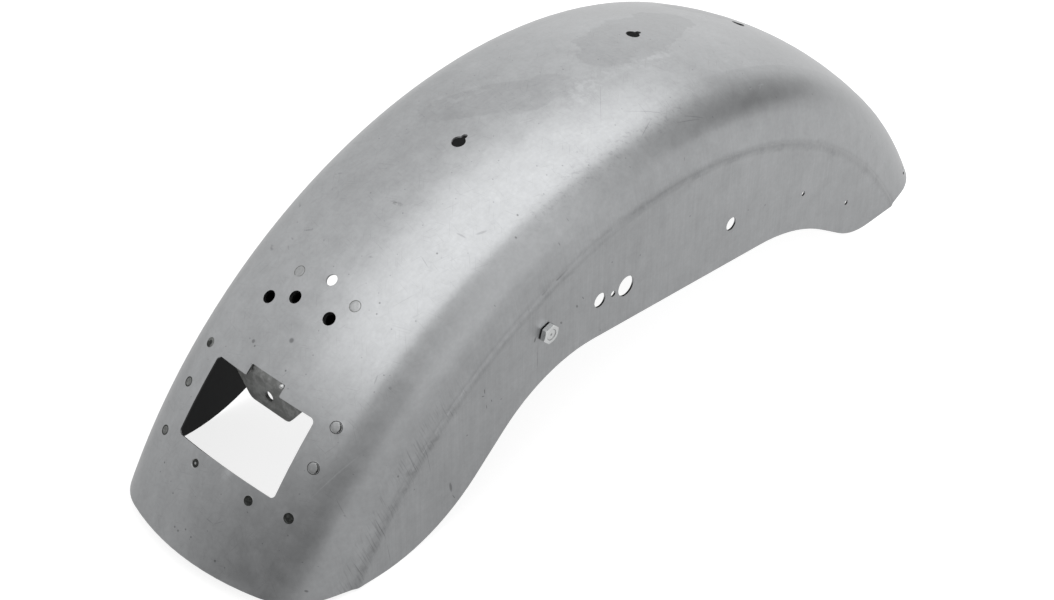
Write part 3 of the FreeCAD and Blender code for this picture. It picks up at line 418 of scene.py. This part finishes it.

# %% [markdown]
# ## The painted shade inside, the gloss and the relief
# Inside, the sheet is painted dark, as the shade that fills the inside of the fender, and it
# is made rougher. Stained places are rougher, and the finest grain is given a real relief,
# because that is what breaks up the reflections on a satin sheet.

# %% The painted shade inside, the gloss and the relief of the sheet
inside_painted_shade, sheet_colour = 0.93, (0.36, 0.366, 0.373)
# Painted shade: the inside of the sheet is darkened, for the shade inside the fender.
sheet_steel.shade(sheet_steel.darker(inside, inside_painted_shade))
sheet_steel.tint(sheet_colour)
gloss = sheet_steel.maths("MULTIPLY_ADD", inside, 0.2, gloss)
sheet_steel.feed(sheet_steel.shader.inputs["Roughness"], gloss)
relief = sheet_steel.maths("MULTIPLY_ADD", mottle, 0.5, sheet_steel.maths("MULTIPLY", pitting, 0.12))
relief = sheet_steel.maths("MULTIPLY_ADD", sheet_steel.maths("MULTIPLY", brushed, skirt), 0.05, relief)
sheet_steel.relief(relief, 0.12 * MM, 0.6)
print("sheet finish has", len(sheet_steel.tree.nodes), "nodes")

# %% [markdown]
# ## The plate, the welds, the bolts and the nuts
# The bracket and the doubler are hot-rolled plate, darker than the sheet and mottled by scale
# and by the heat of the welds. Weld metal is either clean and bright, grey, or burnt nearly
# black. The bolts are plated and bright. The closed nuts behind the lamp holes are painted
# black, as the shade inside the holes, and the same black stands for the deep shadow in the
# gap under the bolt heads.

# %% The plate finish


def mottled_finish(name, colour, roughness, patch, contrast, relief_height):
    """A metal with patches of several sizes in its tone, its gloss and its relief."""
    finish = Finish(name)
    wide = finish.noise(finish.place, (patch,) * 3, 5.0, 0.62)
    fine = finish.noise(finish.place, (patch / 7,) * 3, 4.0, 0.65)
    worn = finish.fade(wide, 0.42, 0.66)
    finish.shade(finish.swing(worn, contrast))
    finish.shade(finish.swing(fine, contrast * 0.7))
    finish.tint(colour)
    finish.feed(finish.shader.inputs["Roughness"], finish.maths("MULTIPLY_ADD", fine, 0.24, roughness - 0.12))
    finish.relief(finish.maths("MULTIPLY_ADD", wide, 0.6, finish.maths("MULTIPLY", fine, 0.4)), relief_height)
    print(name, len(finish.tree.nodes), "nodes")
    return finish.material


plate_finish = mottled_finish("mottled_plate", (0.27, 0.275, 0.27), 0.5, 0.0045, 0.2, 0.1 * MM)
bright_weld = mottled_finish("bright_weld", (0.325, 0.33, 0.333), 0.37, 0.002, 0.07, 0.03 * MM)
pale_bead = mottled_finish("pale_bead", (0.5, 0.505, 0.505), 0.45, 0.0016, 0.12, 0.05 * MM)
grey_weld = mottled_finish("grey_weld", (0.19, 0.195, 0.19), 0.5, 0.0015, 0.25, 0.05 * MM)
burnt_weld = mottled_finish("burnt_weld", (0.045, 0.047, 0.045), 0.55, 0.0015, 0.35, 0.08 * MM)
bolt_plating = mottled_finish("bolt_plating", (0.66, 0.67, 0.67), 0.3, 0.009, 0.04, 0.008 * MM)
# Painted shade: this black goes on the lamp nuts and under the bolt heads, where there is only shade.
painted_shade_black = mottled_finish("painted_shade_black", (0.012, 0.012, 0.012), 0.6, 0.004, 0.3, 0.02 * MM)

finishes = {
    "fender_skin": sheet_steel.material, "lamp_bracket": plate_finish, "opening_doubler": plate_finish,
    "doubler_plug_welds": grey_weld, "bracket_plug_welds": bright_weld, "tack_weld": pale_bead,
    "side_bolt_right": bolt_plating, "side_bolt_left": bolt_plating,
    "side_nut_right": bolt_plating, "side_nut_left": bolt_plating,
    "lamp_nut_left": painted_shade_black, "lamp_nut_right": painted_shade_black, "lamp_nut_outer": painted_shade_black,
}
for name, finish in finishes.items():
    for material_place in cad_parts[name].material_slots:
        material_place.material = finish

# %% [markdown]
# ## Words for modelling small pieces
# Each small piece starts as a primitive and is shaped in edit mode. Faces are picked by where
# they are, since there is no mouse. A finished piece is moved by its mesh, so that its object
# stays at the origin like every other piece.

# %% Picking, placing and finishing


def start_piece(name):
    """Name the primitive that was just added."""
    piece = bpy.context.object
    piece.name = name
    piece.data.name = name
    return piece


def settle(piece):
    """Move a primitive's place into its mesh, so that its object stands at the origin."""
    piece.data.transform(Matrix.Translation(piece.location))
    piece.location = (0, 0, 0)


def clear_selection():
    bpy.ops.object.select_all(action="DESELECT")


def choose(piece):
    """Select one piece, and nothing else."""
    clear_selection()
    piece.select_set(True)
    bpy.context.view_layer.objects.active = piece


def edit(piece, kind, chosen):
    """Enter edit mode with the faces or edges of a piece that a test picks, and nothing else."""
    choose(piece)
    bpy.ops.object.mode_set(mode="EDIT")
    bpy.ops.mesh.select_mode(type=kind)
    bpy.ops.mesh.select_all(action="DESELECT")
    bpy.ops.object.mode_set(mode="OBJECT")
    items = piece.data.polygons if kind == "FACE" else piece.data.edges
    for item in items:
        item.select = bool(chosen(item))
    bpy.ops.object.mode_set(mode="EDIT")


def done():
    bpy.ops.object.mode_set(mode="OBJECT")


def apply_modifier(piece, kind, **options):
    """Add a modifier, set it and apply it."""
    choose(piece)
    modifier = piece.modifiers.new(kind.lower(), kind)
    for option, choice in options.items():
        setattr(modifier, option, choice)
    bpy.ops.object.modifier_apply(modifier=modifier.name)


def smooth(piece, degrees):
    """Shade a piece smooth up to an angle."""
    choose(piece)
    bpy.ops.object.shade_smooth_by_angle(angle=math.radians(degrees))


def ends(axis_height, upward=True):
    """A test for the face that lies at a height and points straight up, or straight down."""
    def chosen(face):
        points_up = face.normal.z > 0.9 if upward else face.normal.z < -0.9
        return points_up and abs(face.center.z - axis_height) < 0.02 * MM
    return chosen


def dress(piece, finish, node):
    """Give a piece its finish and its slot, make it ride, and let it stand for a node of the model."""
    if not piece.data.materials:
        piece.data.materials.append(finish)
    piece.data.materials[0] = finish
    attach(piece, "root")
    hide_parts(node)
    print(piece.name, len(piece.data.polygons), "faces")


# %% [markdown]
# ## Plug welds
# A plug weld fills a hole in the sheet with a puddle that bites into the plate below. It can
# be a dome with a groove round it, or a burnt crater. A disc with rings gives both: every
# inset makes a ring and lifts or sinks it, and parts of some rings get a second finish: burnt
# or bright rings, and on the domes a burnt crescent on one side of the groove that paints its
# shade. The disc is given its depth down to the plate, and then laid on the sheet's own round
# section.

# %% The sheet's section, for laying pieces on it


def sheet_reach(side):
    """How far the outer face of the sheet is from the wheel's axis at a distance to the side."""
    side = abs(side)
    if side < shoulder_start:
        return crown_radius - crown_side_radius + math.sqrt(crown_side_radius ** 2 - side ** 2)
    turn = shoulder_start / crown_side_radius
    middle = shoulder_start - shoulder_radius * turn
    base = sheet_reach(shoulder_start - 1e-9) - shoulder_radius * math.sqrt(1 - turn ** 2)
    return base + math.sqrt(shoulder_radius ** 2 - (side - middle) ** 2)


def lay_on_sheet(piece, degrees, ahead, side):
    """Wrap a flat piece onto the sheet, at a place in the plane square to the radius at an angle."""
    turn = math.radians(degrees)
    out = Vector((math.cos(turn), 0, math.sin(turn)))
    forward = Vector((math.sin(turn), 0, -math.cos(turn)))
    for point in piece.data.vertices:
        across, across_side = ahead + point.co.x, side + point.co.y
        rise = math.sqrt(sheet_reach(across_side) ** 2 - across ** 2) + point.co.z
        point.co = wheel_axis + forward * across + Vector((0, across_side, 0)) + out * rise
    piece.data.update()


# %% A puddle of weld with its rings


def weld_puddle(name, radius, rings, depth, marks):
    """A disc whose rings step inwards and up or down, closed underneath. All lengths in mm.
    A mark is a part of a ring that has the second finish: inner and outer radius, turn, half its angle."""
    bpy.ops.mesh.primitive_circle_add(vertices=40, radius=radius * MM, fill_type="NGON")
    puddle = start_piece(name)
    edit(puddle, "FACE", lambda face: True)
    bpy.ops.mesh.normals_make_consistent(inside=False)
    for inwards, upwards_step in rings:
        bpy.ops.mesh.inset(thickness=inwards * MM, depth=upwards_step * MM, use_even_offset=False)
    bpy.ops.mesh.poke()
    done()
    if puddle.data.polygons[0].normal.z < 0:
        puddle.data.flip_normals()
    for inner, outer, turn, half_angle in marks:
        middle = Vector((math.cos(math.radians(turn)), math.sin(math.radians(turn))))
        for face in puddle.data.polygons:
            way = face.center.xy
            if inner * MM < way.length < outer * MM and way.angle(middle) < math.radians(half_angle):
                face.material_index = 1
    apply_modifier(puddle, "SOLIDIFY", thickness=depth * MM, offset=-1.0)
    smooth(puddle, 60)
    return puddle


dome_rings = [(0.15, 0.05), (0.35, 0.0), (0.15, -0.18), (0.6, 0.13), (0.35, 0.0), (0.3, 0.02), (0.8, 0.02)]
disc_rings = [(0.15, 0.06), (0.2, -0.16), (0.2, -0.04), (0.25, 0.1), (0.8, 0.04), (0.7, -0.02)]
flat_rings = [(0.15, 0.02), (0.2, -0.08), (0.25, 0.02), (0.25, 0.06), (1.0, 0.02), (0.8, -0.02)]
crater_rings = [(0.15, 0.08), (0.2, -0.02), (0.25, -0.35), (0.5, -0.12), (0.6, 0.06), (0.5, 0.06)]

# %% The eight plug welds round the opening and the two over the bracket
opening_angle, lamp_angle, weld_depth = 138.0, 125.0, 0.75
ALL_ROUND = 181  # half the angle of a mark that goes right round
# The first four dome marks are painted shade: the burnt finish darkens one side of the groove and the lip, where shade
# falls. The last darkens the centre.
dome_marks_painted_shade = ((2.2, 3.3, -75, 40), (2.5, 3.65, -75, 68), (3.1, 3.65, -80, 120), (3.3, 3.65, 100, 60),
              (0.0, 0.6, 0, ALL_ROUND))
rim = ((2.4, 3.0, 0, ALL_ROUND),)
doubler_welds = [
    ("weld_right_front", 27.4, -51.81, 3.75, dome_rings, bright_weld, burnt_weld, dome_marks_painted_shade[:4]),
    ("weld_right_middle", 1.9, -51.81, 3.75, dome_rings, bright_weld, burnt_weld, dome_marks_painted_shade),
    ("weld_right_rear", -29.2, -51.81, 3.05, crater_rings, burnt_weld, grey_weld, ()),
    ("weld_left_front", 27.4, 51.81, 3.1, disc_rings, grey_weld, burnt_weld,
     ((1.2, 3.0, 150, 60), (0, 1.2, 0, ALL_ROUND))),
    ("weld_left_middle", 1.9, 51.81, 3.1, disc_rings, grey_weld, burnt_weld, rim),
    ("weld_left_rear", -29.2, 51.81, 3.1, disc_rings, grey_weld, burnt_weld, rim),
    ("weld_sill_left", -33.0, 17.0, 3.05, disc_rings, bright_weld, burnt_weld, ((0.8, 2.45, 0, ALL_ROUND),)),
    ("weld_sill_right", -33.0, -26.3, 3.05, crater_rings, burnt_weld, bright_weld, ((2.8, 3.1, 0, ALL_ROUND),)),
]
bracket_welds = [
    ("weld_bracket_left", 11.4, 22.4, 3.7, flat_rings, bright_weld, grey_weld, ((3.2, 3.6, 15, 150),)),
    ("weld_bracket_right", 11.4, -22.4, 3.7, flat_rings, bright_weld, grey_weld, ((3.2, 3.6, 15, ALL_ROUND),)),
]
for weld_angle, welds, node_name in ((opening_angle, doubler_welds, "doubler_plug_welds"),
                                     (lamp_angle, bracket_welds, "bracket_plug_welds")):
    for name, ahead, side, radius, rings, finish, mark_finish, marks in welds:
        puddle = weld_puddle(name, radius, rings, weld_depth, marks)
        lay_on_sheet(puddle, weld_angle, ahead * MM, side * MM)
        puddle.data.materials.append(finish)
        puddle.data.materials.append(mark_finish)
        dress(puddle, finish, node_name)
        low, high = puddle.bound_box[0], puddle.bound_box[6]
        print("   at", [round((a + b) / 2 / MM, 1) for a, b in zip(low, high)])

# %% [markdown]
# ## The tack weld
# One short bead holds the bracket's bend to the corner of the notch. A bead of weld freezes in
# ripples, so it starts as a ball whose rings are pushed out and pulled in by turns, and is
# then subdivided to round them.

# %% The tack weld
tack_low, tack_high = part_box("tack_weld")
bpy.ops.mesh.primitive_uv_sphere_add(segments=24, ring_count=14, radius=(tack_high.x - tack_low.x) / 2)
tack = start_piece("tack_bead")
ripple_step, ripple_depth = tack.dimensions.z / 7, 0.14 * MM


def on_a_ripple(edge):
    """Pick the level edges of every other ring of the ball."""
    first, second = (tack.data.vertices[index].co for index in edge.vertices)
    level = abs(first.z - second.z) < 1e-6
    return level and int(first.z / ripple_step + 10.5) % 2 == 0


edit(tack, "EDGE", on_a_ripple)
bpy.ops.transform.shrink_fatten(value=-ripple_depth)
done()
apply_modifier(tack, "SUBSURF", levels=1, render_levels=1)
smooth(tack, 80)
tack.data.transform(Matrix.Rotation(math.radians(50), 4, "Y") @ Matrix.Rotation(math.radians(25), 4, "X"))
tack.data.transform(Matrix.Translation((tack_low + tack_high) / 2))
dress(tack, pale_bead, "tack_weld")

# %% [markdown]
# ## The bolts
# A forged hexagon head has its corners turned off at 30 degrees, a washer face under it and a
# shallow dimple on top. Cutting a hexagon with a turned blank gives the curved edges of the
# chamfer as they are on the real head. The thread is a ridge wound round the shank. The side
# of the washer face is painted black, as the shadow under the head, and one ring and the
# dimple are given the darker weld finish.

# %% Bolt and nut sizes
across_flats = 11.1 * MM
corner_radius = across_flats / 2 / math.cos(math.radians(30))
head_height, washer_height = 4.0 * MM, 0.7 * MM
shank_radius, shank_length, thread_pitch = 3.175 * MM, 16.0 * MM, 1.27 * MM
thread_depth = 0.62 * MM

# %% The hexagon head


def turned_blank(radius, low, high, chamfer, both_ends):
    """A round blank with its rim chamfered at the top, or at both ends, to cut a hexagon with."""
    bpy.ops.mesh.primitive_cylinder_add(vertices=72, radius=radius, depth=high - low, location=(0, 0, (high + low) / 2))
    blank = start_piece("blank")
    settle(blank)
    faces = [ends(high)] + ([ends(low, False)] if both_ends else [])
    for chosen in faces:
        edit(blank, "FACE", chosen)
        bpy.ops.mesh.inset(thickness=chamfer[0])
        lift = chamfer[1] if chosen is faces[0] else -chamfer[1]
        bpy.ops.transform.translate(value=(0, 0, lift))
        done()
    return blank


def hexagon(name, low, high):
    """A plain hexagonal bar with a corner towards y."""
    bpy.ops.mesh.primitive_cylinder_add(vertices=6, radius=corner_radius, depth=high - low,
                                        location=(0, 0, (high + low) / 2))
    bar = start_piece(name)
    settle(bar)
    return bar


def combine(piece, tool, operation):
    """Cut, keep or join a piece with a tool, and remove the tool."""
    apply_modifier(piece, "BOOLEAN", object=tool, operation=operation, solver="EXACT")
    bpy.data.objects.remove(tool)


head_rings = ((0.25, 0.0), (1.4, 0.04), (0.5, 0.38), (2.3, 0.0), (0.3, 0.3), (0.2, 0.05))  # inwards, down, in mm
head = turned_blank(corner_radius + 0.05 * MM, washer_height, head_height - 0.55 * MM, (1.15 * MM, 0.55 * MM), False)
head.name = "bolt"
edit(head, "FACE", ends(head_height))
for inwards, sink in head_rings:
    bpy.ops.mesh.inset(thickness=inwards * MM, depth=-sink * MM)
done()
combine(head, hexagon("hexagon", -1 * MM, head_height + 1 * MM), "INTERSECT")
bpy.ops.mesh.primitive_cylinder_add(vertices=72, radius=5.1 * MM, depth=washer_height + 0.1 * MM,
                                    location=(0, 0, (washer_height + 0.1 * MM) / 2))
washer_face = start_piece("washer_face")
settle(washer_face)
combine(head, washer_face, "UNION")
print("bolt head", len(head.data.polygons), "faces")

# %% The shank and its thread


def tooth_profile():
    """A small triangle standing at the shank's radius, to be wound into a thread."""
    root = shank_radius - thread_depth
    bpy.ops.mesh.primitive_circle_add(vertices=3, radius=1 * MM, fill_type="NOTHING")
    tooth = start_piece("thread")
    corners = ((root - 0.05 * MM, 0, 0), (shank_radius, 0, thread_pitch / 2), (root - 0.05 * MM, 0, thread_pitch))
    for point, corner in zip(tooth.data.vertices, corners):
        point.co = corner
    return tooth


thread_turns = int(shank_length / thread_pitch) - 1
thread = tooth_profile()
apply_modifier(thread, "SCREW", axis="Z", screw_offset=thread_pitch, iterations=thread_turns, steps=32,
               render_steps=32, use_merge_vertices=True, merge_threshold=1e-6)
edit(thread, "EDGE", lambda edge: True)
bpy.ops.mesh.fill_holes(sides=0)
bpy.ops.mesh.normals_make_consistent(inside=False)
done()
thread.data.transform(Matrix.Translation((0, 0, -shank_length + 0.75 * MM)))
bpy.ops.mesh.primitive_cylinder_add(vertices=48, radius=shank_radius - thread_depth, depth=shank_length + 0.4 * MM,
                                    location=(0, 0, -(shank_length - 0.4 * MM) / 2))
shank = start_piece("shank")
settle(shank)
edit(shank, "FACE", ends(-shank_length, False))
bpy.ops.transform.resize(value=(0.82, 0.82, 1))
done()
clear_selection()
for part in (thread, shank, head):
    part.select_set(True)
bpy.context.view_layer.objects.active = head
bpy.ops.object.join()
smooth(head, 30)
head.data.materials.clear()
for finish in (bolt_plating, painted_shade_black, bright_weld):
    head.data.materials.append(finish)
ring_inner, ring_outer, dimple_radius = 3.2 * MM, 3.75 * MM, 0.8 * MM
# Painted shade: the faces of the washer face take the black that stands for the shadow under the head.
for face in head.data.polygons:
    from_centre = face.center.xy.length
    if 0 <= face.center.z < washer_height + 0.02 * MM:
        face.material_index = 1
    elif face.center.z > washer_height and face.normal.z > 0.2 and (
            ring_inner < from_centre < ring_outer or from_centre < dimple_radius):
        face.material_index = 2

# %% [markdown]
# ## The nuts
# The nut is the same hexagon cut at both ends, with a hole and a lead-in at its rims.

# %% The nut
nut_height, nut_bore = 5.6 * MM, 3.225 * MM
nut = turned_blank(corner_radius + 0.05 * MM, 0.5 * MM, nut_height - 0.5 * MM, (1.05 * MM, 0.5 * MM), True)
nut.name = "nut"
combine(nut, hexagon("hexagon", -1 * MM, nut_height + 1 * MM), "INTERSECT")
bpy.ops.mesh.primitive_cylinder_add(vertices=48, radius=nut_bore, depth=nut_height * 2, location=(0, 0, 0))
combine(nut, start_piece("drill"), "DIFFERENCE")
smooth(nut, 30)
print("nut", len(nut.data.polygons), "faces")

# %% The bolts and nuts in both skirts
bolt_x, bolt_z = -100.274 * MM, 96.9 * MM
nut_gap = 1.2 * MM
bolt_turn, nut_turn = 45, 12
for side_name, way in (("right", -1), ("left", 1)):
    stand = Matrix.Rotation(math.radians(-90 * way), 4, "X")
    for pattern, label, depth, turn, slot in ((head, "bolt", 0.0, bolt_turn, "bolt_steel"),
                                              (nut, "nut", -nut_gap - nut_height, nut_turn, "nut_steel")):
        piece = pattern.copy()
        piece.data = pattern.data.copy()
        piece.name = f"{side_name}_{label}"
        bpy.context.scene.collection.objects.link(piece)
        place_in_skirt = Matrix.Translation((bolt_x, way * (half_width + depth), bolt_z))
        turn_flats = Matrix.Rotation(math.radians(turn), 4, "Z")
        piece.data.transform(place_in_skirt @ stand @ turn_flats)
        dress(piece, bolt_plating, f"side_{label}_{side_name}")
for pattern in (head, nut):
    bpy.data.objects.remove(pattern)

# %% [markdown]
# ## The floor and the light
# Metal shows its surroundings, so what counts is how bright each direction is. The light was
# fitted to the photograph, and no real studio could give all of it. Reflections see a soft box
# overhead, a pale ceiling and three pale walls: ahead on the left, on the left and on the
# right, with nothing behind. The camera and all matt surfaces see one even pale room instead.
# The floor glows by itself, more under the front than under the rear, and still more for the
# camera, because the photograph's ground is pure white while the lower steel is grey.

# %% The floor
glow_start, glow_end = -0.35, 0.45  # along x, in metres
glow_rear, glow_front, glow_for_camera = 0.42, 0.68, 0.36
clear_selection()
bpy.ops.mesh.primitive_plane_add(size=40, location=(0, 0, 0))
floor = start_piece("floor")
paper = Finish("pale_floor", metallic=0.0)
glow_steps = {"Value": paper.axes(paper.place)[0], "From Min": glow_start, "From Max": glow_end,
              "To Min": glow_rear, "To Max": glow_front}
floor_glow = paper.node("MapRange", glow_steps)
seen = paper.node("LightPath", {}, output="Is Camera Ray")
floor_glow = paper.maths("MULTIPLY_ADD", seen, glow_for_camera, floor_glow)
floor_look = {"Base Color": (0.32, 0.32, 0.32, 1), "Emission Color": (1, 1, 1, 1), "Emission Strength": floor_glow,
              "Roughness": 0.9, "Specular IOR Level": 0.0}
for socket_name, given in floor_look.items():
    paper.feed(paper.shader.inputs[socket_name], given)
floor.data.materials.append(paper.material)
print("floor glow", glow_rear, "to", glow_front)

# %% The room's light
zenith, pale_wall = 1.12, 1.0
walls = [(25, 6, 1.25), (100, 2, 0.95), (283, 5, 1.28)]  # each: degrees from +X, narrowness, brightness
studio = bpy.data.worlds.new("studio")
bpy.context.scene.world = studio
studio.use_nodes = True
room = Recipe(studio.node_tree)
way = room.axes(room.node("TexCoord", {}, output="Generated"))
level = room.node("CombineXYZ", {"X": way[0], "Y": way[1]})
level = room.node("VectorMath", {0: level}, operation="NORMALIZE")
wall_light = 0.0
for azimuth, narrowness, brightness in walls:
    wall_way = (math.cos(math.radians(azimuth)), math.sin(math.radians(azimuth)), 0)
    towards = room.node("VectorMath", {0: level, 1: wall_way}, output="Value", operation="DOT_PRODUCT")
    towards = room.maths("POWER", room.maths("MAXIMUM", towards, 0.0), narrowness)
    wall_light = room.maths("MULTIPLY_ADD", towards, brightness, wall_light)
up = room.maths("MAXIMUM", way[2], 0.0)
sides = room.maths("MULTIPLY", room.maths("SUBTRACT", 1.0, up), wall_light)
mirrored = room.maths("MULTIPLY_ADD", up, zenith, sides)
camera_ray = room.node("LightPath", {}, output="Is Camera Ray")
matt_ray = room.node("LightPath", {}, output="Is Diffuse Ray")
plain = room.maths("MAXIMUM", camera_ray, matt_ray)
plain_part = room.maths("MULTIPLY", plain, pale_wall)
background = room.tree.nodes["Background"]
background.inputs["Color"].default_value = (1, 1, 1, 1)
room.feed(background.inputs["Strength"],
          room.maths("MULTIPLY_ADD", room.maths("SUBTRACT", 1.0, plain), mirrored, plain_part))
print("room light has", len(room.tree.nodes), "nodes")

# %% The soft box overhead
box_long, box_wide, box_radiance = 4.5, 2.0, 0.96
box_place, box_turn = (0.08, -0.18, 2.155), -7.5
soft_box_data = bpy.data.lights.new("soft_box", "AREA")
soft_box_data.shape = "RECTANGLE"
soft_box_data.size = box_long
soft_box_data.size_y = box_wide
soft_box_data.energy = box_radiance * math.pi * box_long * box_wide
soft_box = bpy.data.objects.new("soft_box", soft_box_data)
soft_box.location = box_place
soft_box.rotation_euler.z = math.radians(box_turn)
soft_box.visible_camera = False
soft_box.visible_diffuse = False
bpy.context.scene.collection.objects.link(soft_box)
bpy.context.scene.view_settings.view_transform = "Standard"
print("soft box", round(soft_box_data.energy, 1), "watts")
